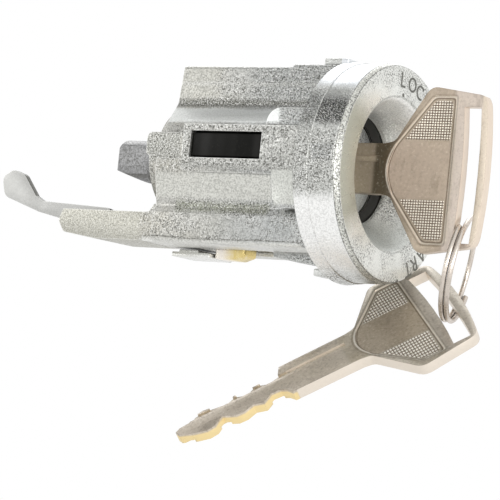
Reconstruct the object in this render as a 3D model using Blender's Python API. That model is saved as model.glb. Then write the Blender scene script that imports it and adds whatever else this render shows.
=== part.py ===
"""Ignition lock cylinder with its key in it, and a spare key on a split ring.

Metres, +Z up. The X axis is the plug's axis and +X is the side the key goes in from. The bezel's
front face lies in the plane x = 0. The window and the stop lever are on the -Y side.
"""
import math

import bmesh
import bpy
from mathutils import Euler, Vector

# Clearances

GAP = 0.0003
TURN_GAP = 0.0004
OVERLAP = 0.0008

# Bezel

BEZEL_FACE_RADIUS = 0.0175
BEZEL_RIM_RADIUS = 0.01815
BEZEL_STEP_RADIUS = 0.01845
BEZEL_BACK_RADIUS = 0.0187
BEZEL_REACH = max(BEZEL_RIM_RADIUS, BEZEL_STEP_RADIUS, BEZEL_BACK_RADIUS)
BEZEL_CENTRE_DROP = 0.00083
BEZEL_CHAMFER = 0.00095
BEZEL_STEP_X = -0.0055
BEZEL_BACK_X = -0.008
DISH_RADIUS = 0.0125
MOUTH_RADIUS = 0.009
MOUTH_X = -0.0066
MOUTH_LIP = 0.0003
LUG_WIDTH = 0.004
LUG_Y = -0.003
LUG_HEIGHT = 0.0013
TOP_LUG_LENGTH = 0.0045
LOW_LUG_LENGTH = 0.0023

# Black ring round the keyhole

SEAT_RADIUS = 0.0096
KEYHOLE_RING_RADIUS = SEAT_RADIUS - GAP
KEYHOLE_RING_FRONT_BORE = 0.00885
KEYHOLE_RING_BACK_BORE = 0.00815
KEYHOLE_RING_FRONT_X = MOUTH_X - MOUTH_LIP - GAP
KEYHOLE_RING_DEPTH = 0.00125

# Where the case, its rear collar, the plug and the shaft end

CASE_BACK_X = -0.038
COLLAR_BACK_X = CASE_BACK_X - 0.003
PLUG_BACK_X = CASE_BACK_X + 0.0018
SHAFT_BACK_X = COLLAR_BACK_X - 0.003

# Plug, with its slot for the key and its row of wafers

PLUG_RADIUS = 0.0072
PLUG_BORE_RADIUS = PLUG_RADIUS + TURN_GAP
FLANGE_RADIUS = 0.00795
FLANGE_BORE_RADIUS = FLANGE_RADIUS + TURN_GAP
FLANGE_FRONT_X = KEYHOLE_RING_FRONT_X - KEYHOLE_RING_DEPTH - GAP
FLANGE_THICKNESS = 0.00195
SHAFT_RADIUS = 0.0049
SHAFT_BORE_RADIUS = SHAFT_RADIUS + TURN_GAP
KEY_SLOT_BACK_X = PLUG_BACK_X + 0.0002
WAFER_COUNT = 8
WAFER_FIRST_X = -0.0145
WAFER_PITCH = 0.0026
WAFER_THICKNESS = 0.0008
WAFER_HALF_WIDTH = 0.0038
WAFER_RADIUS = PLUG_RADIUS - GAP
WAFER_CHANNEL_HEIGHT = 0.0091

# Retaining clip and drive tail behind the plug

CLIP_X = COLLAR_BACK_X - 0.001
CLIP_THICKNESS = 0.0008
CLIP_OUTER_RADIUS = 0.0066
CLIP_GROOVE_RADIUS = 0.00425
CLIP_MOUTH_DEGREES = 70
TAIL_DISC_RADIUS = 0.0046
TAIL_DISC_THICKNESS = 0.0012
TAIL_RADIUS = 0.0036
TAIL_HALF_THICKNESS = 0.0027
TAIL_BACK_X = SHAFT_BACK_X - 0.0085
TENON_HALF_WIDTH = 0.0012
TENON_HALF_HEIGHT = 0.003
TENON_LENGTH = 0.003

# Case

CASE_FRONT_X = BEZEL_BACK_X - GAP
WEB_TOP_Z = 0.0154
WEB_HALF_WIDTH = 0.0068
WEB_FOOT_HALF_WIDTH = 0.0076
WEB_FOOT_Z = 0.0088
WEB_RAISE = 0.00045
WEB_RAISE_BACK_X = -0.0169
SHOULDER_HALF_WIDTH = 0.0104
SHOULDER_Z = 0.0058
BARREL_HALF_WIDTH = 0.01225
WAIST_HALF_WIDTH = 0.0109
WAIST_Z = -0.0084
SKIRT_HALF_WIDTH = 0.0116
SKIRT_TOP_Z = -0.0097
UNDERSIDE_Z = -0.0144
COLLAR_RADIUS = 0.0102
COLLAR_Z = 0.0007
RIB_FACE_Y = -0.0123
RIB_BACK_X = CASE_BACK_X - 0.0022
RIB_LOW_Z = -0.0006
RIB_HIGH_Z = 0.0034

# Pad, window and steps on the case's near side

PAD_FACE_Y = -0.0133
PAD_SLOPE_Y = -0.0124
PAD_BACK_X = -0.0325
PAD_LOW_Z = -0.00175
PAD_HIGH_Z = 0.00475
PAD_FOOT_Z = -0.003
PAD_FOOT_BACK_X = -0.0302
BUMP_FACE_Y = -0.0123
BUMP_BACK_X = -0.0174
BUMP_HIGH_Z = 0.0078
TAB_FACE_Y = -0.0129
TAB_BACK_X = -0.0153
TAB_LOW_Z = -0.0084
WINDOW_LIP = 0.0013
WINDOW_LENGTH = 0.0136
WINDOW_HEIGHT = 0.0044
WINDOW_MIDDLE_X = -0.0242
WINDOW_MIDDLE_Z = 0.00145
POCKET_MARGIN = 0.0006
POCKET_DEPTH = 0.0028

# Slider behind the window

SLIDER_FLANGE_THICKNESS = 0.001
SLIDER_TRAVEL = 0.0006
SLIDER_FACE_RECESS = 0.0009
LEAF_THICKNESS = 0.0003
LEAF_HALF_WIDTH = 0.0012
LEAF_END_GAP = 0.0012
LEAF_BOW = 0.0003

# Tongue and stop lever

TONGUE_NEAR_Y = -0.0106
TONGUE_FAR_Y = 0.001
TONGUE_TOP_Z = -0.00965
TONGUE_BACK_X = -0.0578
LEVER_THICKNESS = 0.0012
LEVER_MIDDLE_Y = -0.0056
LEVER_PIVOT_X = -0.0455
LEVER_PIVOT_Z = -0.0112
LEVER_EYE_RADIUS = 0.0019
LEVER_PIN_RADIUS = 0.0009
LEVER_PIN_NEAR_Y = -0.0084
LEVER_ARM = (
    (-0.0471, -0.00895, 0.0008), (-0.0648, -0.00805, 0.002), (-0.0664, -0.0072, 0.001),
    (-0.0693, -0.0036, 0.0014), (-0.0718, -0.0028, 0.0014), (-0.0740, -0.0042, 0.0011),
    (-0.0732, -0.0074, 0.0018), (-0.0655, -0.0099, 0.002), (-0.0619, -0.0106, 0.0015),
    (-0.0556, -0.0119, 0.0015),
)

# Underside

CHANNEL_FRONT_X = -0.0205
CHANNEL_BACK_X = -0.0345
CHANNEL_NEAR_Y = -0.0026
CHANNEL_FAR_Y = 0.0066
CHANNEL_ROOF_Z = -0.01
PAWL_FRONT_X = -0.0263
PAWL_BACK_X = -0.0322
PAWL_NEAR_Y = -0.001
PAWL_FAR_Y = 0.003
PAWL_LOW_Z = -0.0159
PAWL_TOP_Z = -0.0117
PLATE_BACK_X = -0.04
PLATE_THICKNESS = 0.0008
WEDGE_BACK_X = -0.02
WEDGE_NEAR_Y = -0.002
WEDGE_FAR_Y = 0.006
WEDGE_THIN = 0.0008
WEDGE_THICK = 0.0022

# Keys. Along a key, 0 is where the blade meets the bow and the bow is on the + side.

KEY_THICKNESS = 0.0018
BLADE_HALF_WIDTH = 0.004
STEM_HALF_WIDTH = 0.0041
NECK_START = -0.003
BOW_LENGTH = 0.0162
BOW_NECK_HALF_WIDTH = 0.0045
BOW_SHOULDER = 0.00575
BOW_HALF_WIDTH = 0.01347
BOW_END_HALF_WIDTH = 0.01195
BOW_END_BULGE = 0.00135
BOW_CORNER = 0.002
BOW_SLOT_START = 0.01195
BOW_SLOT_END = 0.015
BOW_SLOT_BULGE = 0.00055
BOW_SLOT_LOW = -0.0115
BOW_SLOT_HIGH = 0.0102
PANEL_END = 0.0104
PANEL_HALF_WIDTH = 0.0118
PANEL_DEPTH = 0.00025
GROOVE_MIDDLE = 0.0016
GROOVE_HALF_WIDTH = 0.0005
GROOVE_DEPTH = 0.0004
UPPER_CUTS = (
    (-0.0137, BLADE_HALF_WIDTH), (-0.0145, 0.002), (-0.0165, 0.0015), (-0.0178, 0.00215), (-0.019, 0.0021),
    (-0.0203, 0.0013), (-0.0222, 0.00225), (-0.0237, 0.00155), (-0.0277, 0.0023), (-0.0293, 0.002),
    (-0.0306, 0.0009), (-0.0324, 0.0007), (-0.0332, 0.0001),
)
LOWER_CUTS = (
    (-0.0329, -0.0008), (-0.0306, -0.0023), (-0.0286, -0.0031), (-0.0271, -0.0029), (-0.0264, -0.0022),
    (-0.0254, -0.0014), (-0.0234, -0.0029), (-0.0219, -0.003), (-0.0202, -0.0023), (-0.0185, -0.0031),
    (-0.0168, -0.00175), (-0.0153, -0.0019), (-0.0144, -0.0027),
    (-0.0137, -BLADE_HALF_WIDTH),
)
KEY_SLOT_HALF_WIDTH = KEY_THICKNESS / 2 + GAP
KEY_SLOT_HALF_HEIGHT = STEM_HALF_WIDTH + GAP

# Split ring. It hangs in the first key's slot, and it is larger where the bezel is larger.

RING_SHARE = 0.55
RING_LESS = 0.00188
RING_RADIUS = RING_SHARE * BEZEL_REACH - RING_LESS
RING_TILT = Euler((math.radians(-128.813), math.radians(-76.8), math.radians(-34.98)))
RING_WIRE_RADIUS = 0.00042
RING_COIL_GAP = 0.00004
RING_START_DEGREES = 32
RING_CROSSOVER_DEGREES = 240
RING_END_DEGREES = 594
RING_HOOK_DEGREES = 32
RING_HOOK = Vector((0.013131, -0.000048, -0.008754))
SPARE_HOOK_DEGREES = 175


def on_ring(degrees):
    """The place on the ring's middle line at an angle, from the ring's centre."""
    angle = math.radians(degrees)
    return RING_TILT.to_matrix() @ Vector((RING_RADIUS * math.cos(angle), RING_RADIUS * math.sin(angle), 0))


RING_CENTRE = RING_HOOK - on_ring(RING_HOOK_DEGREES)

# Where the spare key hangs. The ring passes through its slot.

SPARE_NECK = RING_CENTRE + on_ring(SPARE_HOOK_DEGREES) + Vector((-0.012393, -0.004303, -0.005272))
SPARE_TILT = Euler((math.radians(-54.88), math.radians(-31.983), math.radians(34.047)))
SPARE_RAIL = 0.0163

ROUND_STEPS = 64


def clear_scene():
    for thing in list(bpy.data.objects):
        bpy.data.objects.remove(thing, do_unlink=True)


def make_material(name, colour, roughness, metallic):
    material = bpy.data.materials.new(name)
    material.use_nodes = True
    shader = material.node_tree.nodes["Principled BSDF"]
    shader.inputs["Base Color"].default_value = (*colour, 1)
    shader.inputs["Roughness"].default_value = roughness
    shader.inputs["Metallic"].default_value = metallic
    return material


def rounded(corners, steps=5):
    """A closed outline. A corner is (a, b), or (a, b, radius) where an arc replaces it."""
    outline = []
    for index, corner in enumerate(corners):
        tip = Vector(corner[:2])
        if len(corner) == 2:
            outline.append(tip)
            continue
        before = (Vector(corners[index - 1][:2]) - tip).normalized()
        after = (Vector(corners[(index + 1) % len(corners)][:2]) - tip).normalized()
        half = before.angle(after) / 2
        centre = tip + (before + after).normalized() * corner[2] / math.sin(half)
        reach = corner[2] / math.tan(half)
        start = tip + before * reach - centre
        end = tip + after * reach - centre
        first = math.atan2(start.y, start.x)
        sweep = (math.atan2(end.y, end.x) - first + math.pi) % (2 * math.pi) - math.pi
        for step in range(steps + 1):
            angle = first + sweep * step / steps
            outline.append(centre + Vector((math.cos(angle), math.sin(angle))) * corner[2])
    return outline


def bowed(first, last, bulge, steps=6):
    """Points between two ends on an arc whose middle stands out to the right of the way by bulge."""
    start, end = Vector(first), Vector(last)
    chord = end - start
    side = Vector((chord.y, -chord.x)).normalized()
    points = []
    for step in range(1, steps):
        share = step / steps
        points.append(tuple(start + chord * share + side * bulge * 4 * share * (1 - share)))
    return points


def circle(radius, centre=(0, 0), steps=ROUND_STEPS):
    outline = []
    for step in range(steps):
        angle = 2 * math.pi * step / steps
        outline.append((centre[0] + radius * math.cos(angle), centre[1] + radius * math.sin(angle)))
    return outline


def as_object(shape):
    bmesh.ops.recalc_face_normals(shape, faces=shape.faces)
    mesh = bpy.data.meshes.new("shape")
    shape.to_mesh(mesh)
    shape.free()
    thing = bpy.data.objects.new("shape", mesh)
    bpy.context.collection.objects.link(thing)
    return thing


def loft(low_outline, high_outline, axis, low, high):
    """A solid between two outlines with equally many points, each across the axis."""
    shape = bmesh.new()
    rings = []
    for outline, along in ((low_outline, low), (high_outline, high)):
        ring = []
        for a, b in outline:
            place = {"X": (along, a, b), "Y": (a, along, b), "Z": (a, b, along)}[axis]
            ring.append(shape.verts.new(place))
        rings.append(ring)
    count = len(rings[0])
    for index in range(count):
        after = (index + 1) % count
        shape.faces.new((rings[0][index], rings[0][after], rings[1][after], rings[1][index]))
    shape.faces.new(rings[0])
    shape.faces.new(rings[1])
    return as_object(shape)


def prism(outline, axis, low, high):
    return loft(outline, outline, axis, low, high)


def box(low, high):
    outline = [(low[1], low[2]), (high[1], low[2]), (high[1], high[2]), (low[1], high[2])]
    return prism(outline, "X", low[0], high[0])


def turned(sections, closed=False, steps=ROUND_STEPS):
    """Circles along X joined in order. A section is (x, radius), or (x, radius, centre z)."""
    shape = bmesh.new()
    rings = []
    for section in sections:
        centre = section[2] if len(section) > 2 else 0
        ring = [shape.verts.new((section[0], a, b + centre)) for a, b in circle(section[1], steps=steps)]
        rings.append(ring)
    pairs = list(zip(rings, rings[1:]))
    if closed:
        pairs.append((rings[-1], rings[0]))
    else:
        shape.faces.new(rings[0])
        shape.faces.new(rings[-1])
    for one, other in pairs:
        for index in range(steps):
            after = (index + 1) % steps
            shape.faces.new((one[index], one[after], other[after], other[index]))
    return as_object(shape)


def combine(base, tools, operation):
    for tool in tools:
        modifier = base.modifiers.new(operation.lower(), "BOOLEAN")
        modifier.operation = operation
        modifier.solver = "EXACT"
        modifier.object = tool
        graph = bpy.context.evaluated_depsgraph_get()
        result = bpy.data.meshes.new_from_object(base.evaluated_get(graph))
        base.modifiers.clear()
        base.data = result
        bpy.data.objects.remove(tool, do_unlink=True)
    return base


def join(base, *tools):
    return combine(base, tools, "UNION")


def cut(base, *tools):
    return combine(base, tools, "DIFFERENCE")


def finish(thing, name, material, origin=(0, 0, 0), parent=None, sharp=30):
    """Name a solid, give it its colour and put its origin where it is held or turns."""
    mesh = thing.data
    shape = bmesh.new()
    shape.from_mesh(mesh)
    bmesh.ops.remove_doubles(shape, verts=shape.verts, dist=0.000002)
    bmesh.ops.dissolve_degenerate(shape, edges=shape.edges, dist=0.000001)
    bmesh.ops.translate(shape, verts=shape.verts, vec=-Vector(origin))
    bmesh.ops.recalc_face_normals(shape, faces=shape.faces)
    shape.to_mesh(mesh)
    shape.free()
    mesh.materials.clear()
    mesh.materials.append(material)
    mesh.shade_smooth()
    mesh.set_sharp_from_angle(angle=math.radians(sharp))
    mesh.name = name
    thing.name = name
    thing.parent = parent
    thing.location = Vector(origin)
    if parent is not None:
        thing.location -= parent.location
    return thing


def empty(name, location, parent=None):
    thing = bpy.data.objects.new(name, None)
    thing.empty_display_size = 0.004
    bpy.context.collection.objects.link(thing)
    thing.location = Vector(location)
    thing.parent = parent
    if parent is not None:
        thing.location -= parent.location
    return thing


def mirrored(points):
    return [(-point[0], *point[1:]) for point in reversed(points)]


def case_profile(web_top):
    """Section across the plug's axis: a web on top, a round barrel and a square skirt below."""
    half = [
        (-WEB_HALF_WIDTH, web_top, 0.0007),
        (-WEB_FOOT_HALF_WIDTH, WEB_FOOT_Z, 0.0012),
        (-SHOULDER_HALF_WIDTH, SHOULDER_Z, 0.001),
        (-BARREL_HALF_WIDTH, 0.0018, 0.005),
        (-BARREL_HALF_WIDTH, -0.0028, 0.006),
        (-WAIST_HALF_WIDTH, WAIST_Z, 0.0008),
        (-SKIRT_HALF_WIDTH, SKIRT_TOP_Z, 0.0004),
        (-SKIRT_HALF_WIDTH, UNDERSIDE_Z, 0.0007),
    ]
    return rounded(half + mirrored(half), steps=4)


def tongue_outline():
    return rounded([
        (CASE_BACK_X + 0.001, TONGUE_TOP_Z + 0.0014), (CASE_BACK_X - 0.0006, TONGUE_TOP_Z + 0.0014),
        (CASE_BACK_X - 0.0016, TONGUE_TOP_Z, 0.0008), (TONGUE_BACK_X + 0.0008, TONGUE_TOP_Z, 0.0003),
        (TONGUE_BACK_X, TONGUE_TOP_Z - 0.002, 0.0012), (TONGUE_BACK_X + 0.0013, TONGUE_TOP_Z - 0.0039, 0.0008),
        (TONGUE_BACK_X + 0.0077, UNDERSIDE_Z, 0.002), (CASE_BACK_X + 0.001, UNDERSIDE_Z),
    ], steps=3)


def window_box(margin, near_y, far_y):
    half_length = WINDOW_LENGTH / 2 + margin
    half_height = WINDOW_HEIGHT / 2 + margin
    return box(
        (WINDOW_MIDDLE_X - half_length, near_y, WINDOW_MIDDLE_Z - half_height),
        (WINDOW_MIDDLE_X + half_length, far_y, WINDOW_MIDDLE_Z + half_height),
    )


def build_case(material):
    inside = -BARREL_HALF_WIDTH + 0.002
    case = prism(case_profile(WEB_TOP_Z), "X", CASE_BACK_X, CASE_FRONT_X)
    raised = prism(rounded([
        (-WEB_HALF_WIDTH, WEB_TOP_Z + WEB_RAISE, 0.0007), (-WEB_HALF_WIDTH, WEB_TOP_Z - 0.002),
        (WEB_HALF_WIDTH, WEB_TOP_Z - 0.002), (WEB_HALF_WIDTH, WEB_TOP_Z + WEB_RAISE, 0.0007),
    ]), "X", WEB_RAISE_BACK_X, CASE_FRONT_X)
    collar = prism(circle(COLLAR_RADIUS, (0, COLLAR_Z)), "X", COLLAR_BACK_X, CASE_BACK_X + OVERLAP)
    pad_face = [
        (PAD_BACK_X, PAD_HIGH_Z), (CASE_FRONT_X, PAD_HIGH_Z), (CASE_FRONT_X, PAD_LOW_Z),
        (PAD_FOOT_BACK_X, PAD_LOW_Z), (PAD_BACK_X, PAD_LOW_Z + 0.0005),
    ]
    pad_foot = [
        (PAD_BACK_X, PAD_HIGH_Z), (CASE_FRONT_X, PAD_HIGH_Z), (CASE_FRONT_X, PAD_FOOT_Z),
        (PAD_FOOT_BACK_X, PAD_FOOT_Z), (PAD_BACK_X, PAD_LOW_Z),
    ]
    pad = loft(pad_face, pad_foot, "Y", PAD_FACE_Y, PAD_SLOPE_Y)
    pad_base = prism(pad_foot, "Y", PAD_SLOPE_Y - 0.0001, inside)
    bump = prism(rounded([
        (BUMP_BACK_X, BUMP_HIGH_Z, 0.0026), (CASE_FRONT_X, BUMP_HIGH_Z), (CASE_FRONT_X, PAD_LOW_Z),
        (BUMP_BACK_X, PAD_LOW_Z),
    ]), "Y", BUMP_FACE_Y, -SHOULDER_HALF_WIDTH + 0.0024)
    tab = prism(rounded([
        (TAB_BACK_X, PAD_LOW_Z), (TAB_BACK_X + 0.0009, TAB_LOW_Z + 0.0013, 0.0006),
        (TAB_BACK_X + 0.0028, TAB_LOW_Z, 0.0006), (CASE_FRONT_X, TAB_LOW_Z), (CASE_FRONT_X, PAD_LOW_Z),
    ], steps=3), "Y", TAB_FACE_Y, inside)
    rib = prism(rounded([
        (RIB_BACK_X, RIB_HIGH_Z, 0.001), (PAD_BACK_X + OVERLAP, RIB_HIGH_Z),
        (PAD_BACK_X + OVERLAP, RIB_LOW_Z), (RIB_BACK_X, RIB_LOW_Z, 0.001),
    ]), "Y", RIB_FACE_Y, -COLLAR_RADIUS + 0.001)
    tongue = prism(tongue_outline(), "Y", TONGUE_NEAR_Y, TONGUE_FAR_Y)
    wedge = prism([
        (WEDGE_BACK_X, UNDERSIDE_Z + OVERLAP), (WEDGE_BACK_X, UNDERSIDE_Z - WEDGE_THIN),
        (CASE_FRONT_X, UNDERSIDE_Z - WEDGE_THICK), (CASE_FRONT_X, UNDERSIDE_Z + OVERLAP),
    ], "Y", WEDGE_NEAR_Y, WEDGE_FAR_Y)
    join(case, raised, collar, pad, pad_base, bump, tab, rib, tongue, wedge)

    bore_back = PLUG_BACK_X - GAP
    bore = turned([(bore_back, PLUG_BORE_RADIUS), (CASE_FRONT_X + 0.001, PLUG_BORE_RADIUS)])
    flange_back = FLANGE_FRONT_X - FLANGE_THICKNESS - GAP
    flange_bore = turned([(flange_back, FLANGE_BORE_RADIUS), (CASE_FRONT_X + 0.001, FLANGE_BORE_RADIUS)])
    ring_seat = turned([(FLANGE_FRONT_X, SEAT_RADIUS), (CASE_FRONT_X + 0.001, SEAT_RADIUS)])
    shaft_bore = turned([(COLLAR_BACK_X - 0.001, SHAFT_BORE_RADIUS), (bore_back + 0.001, SHAFT_BORE_RADIUS)])
    channel_half = WAFER_HALF_WIDTH + GAP
    wafer_channel = box(
        (bore_back, -channel_half, -WAFER_CHANNEL_HEIGHT),
        (WAFER_FIRST_X + WAFER_PITCH / 2, channel_half, WAFER_CHANNEL_HEIGHT),
    )
    low_channel = prism(rounded([
        (CHANNEL_BACK_X, CHANNEL_NEAR_Y, 0.0006), (CHANNEL_FRONT_X, CHANNEL_NEAR_Y, 0.0006),
        (CHANNEL_FRONT_X, CHANNEL_FAR_Y, 0.0006), (CHANNEL_BACK_X, CHANNEL_FAR_Y, 0.0006),
    ], steps=3), "Z", UNDERSIDE_Z - 0.004, CHANNEL_ROOF_Z)
    pocket_near = PAD_FACE_Y + WINDOW_LIP
    window = window_box(0, PAD_FACE_Y - 0.001, pocket_near + 0.0005)
    pocket = window_box(POCKET_MARGIN, pocket_near, pocket_near + POCKET_DEPTH)
    lever_half = LEVER_THICKNESS / 2 + GAP
    lever_slot = box(
        (TONGUE_BACK_X - 0.001, LEVER_MIDDLE_Y - lever_half, LEVER_PIVOT_Z - LEVER_EYE_RADIUS - GAP),
        (LEVER_PIVOT_X + LEVER_EYE_RADIUS + 0.0006, LEVER_MIDDLE_Y + lever_half, TONGUE_TOP_Z + 0.003),
    )
    pin_hole = prism(
        circle(LEVER_PIN_RADIUS + GAP, (LEVER_PIVOT_X, LEVER_PIVOT_Z), 24),
        "Y", LEVER_PIN_NEAR_Y - GAP, TONGUE_FAR_Y + 0.001,
    )
    cut(case, bore, flange_bore, ring_seat, shaft_bore, wafer_channel, low_channel)
    cut(case, window, pocket, lever_slot, pin_hole)
    return finish(case, "lock_case", material)


def build_bezel(material):
    middle = -BEZEL_CENTRE_DROP
    dish = []
    for step in range(8):
        share = step / 7
        # The dish falls away slowly from its edge and steepens toward the keyhole.
        radius = DISH_RADIUS + (MOUTH_RADIUS - DISH_RADIUS) * share ** 0.8
        dish.append((MOUTH_X * share, radius, middle * (1 - share)))
    sections = [
        (0, BEZEL_FACE_RADIUS, middle),
        (-BEZEL_CHAMFER, BEZEL_RIM_RADIUS, middle),
        (BEZEL_STEP_X + 0.0003, BEZEL_STEP_RADIUS, middle),
        (BEZEL_STEP_X, BEZEL_STEP_RADIUS + 0.00013, middle),
        (BEZEL_BACK_X, BEZEL_BACK_RADIUS, middle),
        (BEZEL_BACK_X, SEAT_RADIUS),
        (MOUTH_X - MOUTH_LIP, SEAT_RADIUS),
        (MOUTH_X - MOUTH_LIP, MOUTH_RADIUS),
    ]
    bezel = turned(sections + dish[::-1], closed=True, steps=72)
    low_y = LUG_Y - LUG_WIDTH / 2
    high_y = LUG_Y + LUG_WIDTH / 2
    top_z = BEZEL_BACK_RADIUS - BEZEL_CENTRE_DROP - 0.0003
    low_z = -BEZEL_BACK_RADIUS - BEZEL_CENTRE_DROP + 0.0016
    top_lug = box(
        (BEZEL_BACK_X - TOP_LUG_LENGTH, low_y, top_z - LUG_HEIGHT), (BEZEL_BACK_X + OVERLAP, high_y, top_z))
    low_lug = box(
        (BEZEL_BACK_X - LOW_LUG_LENGTH, low_y, low_z - LUG_HEIGHT + 0.0003),
        (BEZEL_BACK_X + OVERLAP, high_y, low_z - 0.0005))
    join(bezel, top_lug, low_lug)
    return finish(bezel, "face_bezel", material)


def build_keyhole_ring(material):
    back = KEYHOLE_RING_FRONT_X - KEYHOLE_RING_DEPTH
    ring = turned([
        (KEYHOLE_RING_FRONT_X, KEYHOLE_RING_RADIUS), (back, KEYHOLE_RING_RADIUS),
        (back, KEYHOLE_RING_BACK_BORE), (KEYHOLE_RING_FRONT_X, KEYHOLE_RING_FRONT_BORE),
    ], closed=True)
    return finish(ring, "keyhole_ring", material)


def wafer_places():
    return [WAFER_FIRST_X - WAFER_PITCH * number for number in range(WAFER_COUNT)]


def build_plug(material, parent):
    flange_back = FLANGE_FRONT_X - FLANGE_THICKNESS
    groove = CLIP_THICKNESS / 2 + GAP
    plug = turned([
        (FLANGE_FRONT_X, FLANGE_RADIUS), (flange_back, FLANGE_RADIUS),
        (flange_back, PLUG_RADIUS), (PLUG_BACK_X, PLUG_RADIUS),
        (PLUG_BACK_X, SHAFT_RADIUS), (CLIP_X + groove, SHAFT_RADIUS),
        (CLIP_X + groove, CLIP_GROOVE_RADIUS), (CLIP_X - groove, CLIP_GROOVE_RADIUS),
        (CLIP_X - groove, SHAFT_RADIUS), (SHAFT_BACK_X, SHAFT_RADIUS),
    ])
    key_slot = box(
        (KEY_SLOT_BACK_X, -KEY_SLOT_HALF_WIDTH, -KEY_SLOT_HALF_HEIGHT),
        (FLANGE_FRONT_X + 0.001, KEY_SLOT_HALF_WIDTH, KEY_SLOT_HALF_HEIGHT),
    )
    tenon_slot = box(
        (SHAFT_BACK_X - 0.001, -TENON_HALF_WIDTH - GAP, -TENON_HALF_HEIGHT - GAP),
        (SHAFT_BACK_X + TENON_LENGTH, TENON_HALF_WIDTH + GAP, TENON_HALF_HEIGHT + GAP),
    )
    cut(plug, key_slot, tenon_slot)
    half = WAFER_THICKNESS / 2 + GAP
    side = WAFER_HALF_WIDTH + GAP
    for x in wafer_places():
        cut(plug, box((x - half, -side, -PLUG_RADIUS - 0.001), (x + half, side, PLUG_RADIUS + 0.001)))
    return finish(plug, "lock_plug", material, parent=parent)


def build_wafer(number, x, material, parent):
    """A flat wafer with round ends and a tall window for the key's blade."""
    corner = math.asin(WAFER_HALF_WIDTH / WAFER_RADIUS)
    outline = []
    for side in (1, -1):
        for step in range(7):
            angle = corner * (1 - step / 3)
            outline.append((side * WAFER_RADIUS * math.sin(angle), side * WAFER_RADIUS * math.cos(angle)))
    wafer = prism(outline, "X", x - WAFER_THICKNESS / 2, x + WAFER_THICKNESS / 2)
    half_width = KEY_THICKNESS / 2 + TURN_GAP
    half_height = STEM_HALF_WIDTH + TURN_GAP
    cut(wafer, box((x - 0.001, -half_width, -half_height), (x + 0.001, half_width, half_height)))
    return finish(wafer, f"wafer_{number}", material, origin=(x, 0, 0), parent=parent)


def build_clip(material, parent):
    mouth = math.radians(CLIP_MOUTH_DEGREES)
    outer = []
    inner = []
    for step in range(37):
        angle = math.pi * 1.5 + mouth / 2 + (2 * math.pi - mouth) * step / 36
        outer.append((CLIP_OUTER_RADIUS * math.cos(angle), CLIP_OUTER_RADIUS * math.sin(angle)))
        inner.append(((CLIP_GROOVE_RADIUS + GAP) * math.cos(angle), (CLIP_GROOVE_RADIUS + GAP) * math.sin(angle)))
    clip = prism(outer + inner[::-1], "X", CLIP_X - CLIP_THICKNESS / 2, CLIP_X + CLIP_THICKNESS / 2)
    return finish(clip, "retaining_clip", material, origin=(CLIP_X, 0, 0), parent=parent)


def build_drive_tail(material, parent):
    """The stub behind the plug: a disc with a tenon in front and a flattened bar behind."""
    front = SHAFT_BACK_X - GAP
    tail = turned([
        (front, TAIL_DISC_RADIUS), (front - TAIL_DISC_THICKNESS, TAIL_DISC_RADIUS),
        (front - TAIL_DISC_THICKNESS, TAIL_RADIUS), (TAIL_BACK_X + 0.0003, TAIL_RADIUS),
        (TAIL_BACK_X, TAIL_RADIUS - 0.0003),
    ], steps=48)
    tenon = box(
        (front - 0.0006, -TENON_HALF_WIDTH, -TENON_HALF_HEIGHT),
        (front + TENON_LENGTH, TENON_HALF_WIDTH, TENON_HALF_HEIGHT),
    )
    join(tail, tenon)
    flat_front = front - TAIL_DISC_THICKNESS - 0.0002
    for side in (-1, 1):
        near = min(side * TAIL_HALF_THICKNESS, side * (TAIL_RADIUS + 0.001))
        far = max(side * TAIL_HALF_THICKNESS, side * (TAIL_RADIUS + 0.001))
        cut(tail, box((TAIL_BACK_X - 0.001, near, -0.006), (flat_front, far, 0.006)))
    nose = prism([
        (TAIL_BACK_X + 0.0054, -TAIL_RADIUS - 0.0001), (TAIL_BACK_X - 0.0002, -TAIL_RADIUS + 0.0018),
        (TAIL_BACK_X - 0.0012, -TAIL_RADIUS - 0.001),
    ], "Y", -0.006, 0.006)
    cut(tail, nose)
    return finish(tail, "drive_tail", material, origin=(front, 0, 0), parent=parent)


def slider_origin():
    return (WINDOW_MIDDLE_X, PAD_FACE_Y + WINDOW_LIP, WINDOW_MIDDLE_Z)


def build_slider(material):
    """A block that shows in the window, held behind the window's lip by its flange."""
    flange_near = PAD_FACE_Y + WINDOW_LIP + GAP + SLIDER_TRAVEL
    slider = window_box(POCKET_MARGIN - GAP, flange_near, flange_near + SLIDER_FLANGE_THICKNESS)
    face = window_box(-GAP, PAD_FACE_Y + SLIDER_FACE_RECESS, flange_near + 0.0005)
    join(slider, face)
    return finish(slider, "reminder_slider", material, origin=slider_origin())


def build_slider_spring(material):
    """A bowed leaf on the floor of the slider's pocket."""
    floor = PAD_FACE_Y + WINDOW_LIP + POCKET_DEPTH - GAP
    half = WINDOW_LENGTH / 2 - LEAF_END_GAP
    top = bowed((WINDOW_MIDDLE_X - half, floor - LEAF_THICKNESS), (WINDOW_MIDDLE_X + half, floor - LEAF_THICKNESS),
                LEAF_BOW, steps=8)
    under = bowed((WINDOW_MIDDLE_X - half, floor), (WINDOW_MIDDLE_X + half, floor), LEAF_BOW, steps=8)
    outline = [(WINDOW_MIDDLE_X - half, floor), (WINDOW_MIDDLE_X - half, floor - LEAF_THICKNESS)]
    outline += top
    outline += [(WINDOW_MIDDLE_X + half, floor - LEAF_THICKNESS), (WINDOW_MIDDLE_X + half, floor)]
    outline += under[::-1]
    leaf = prism(outline, "Z", WINDOW_MIDDLE_Z - LEAF_HALF_WIDTH, WINDOW_MIDDLE_Z + LEAF_HALF_WIDTH)
    return finish(leaf, "slider_spring", material)


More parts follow.
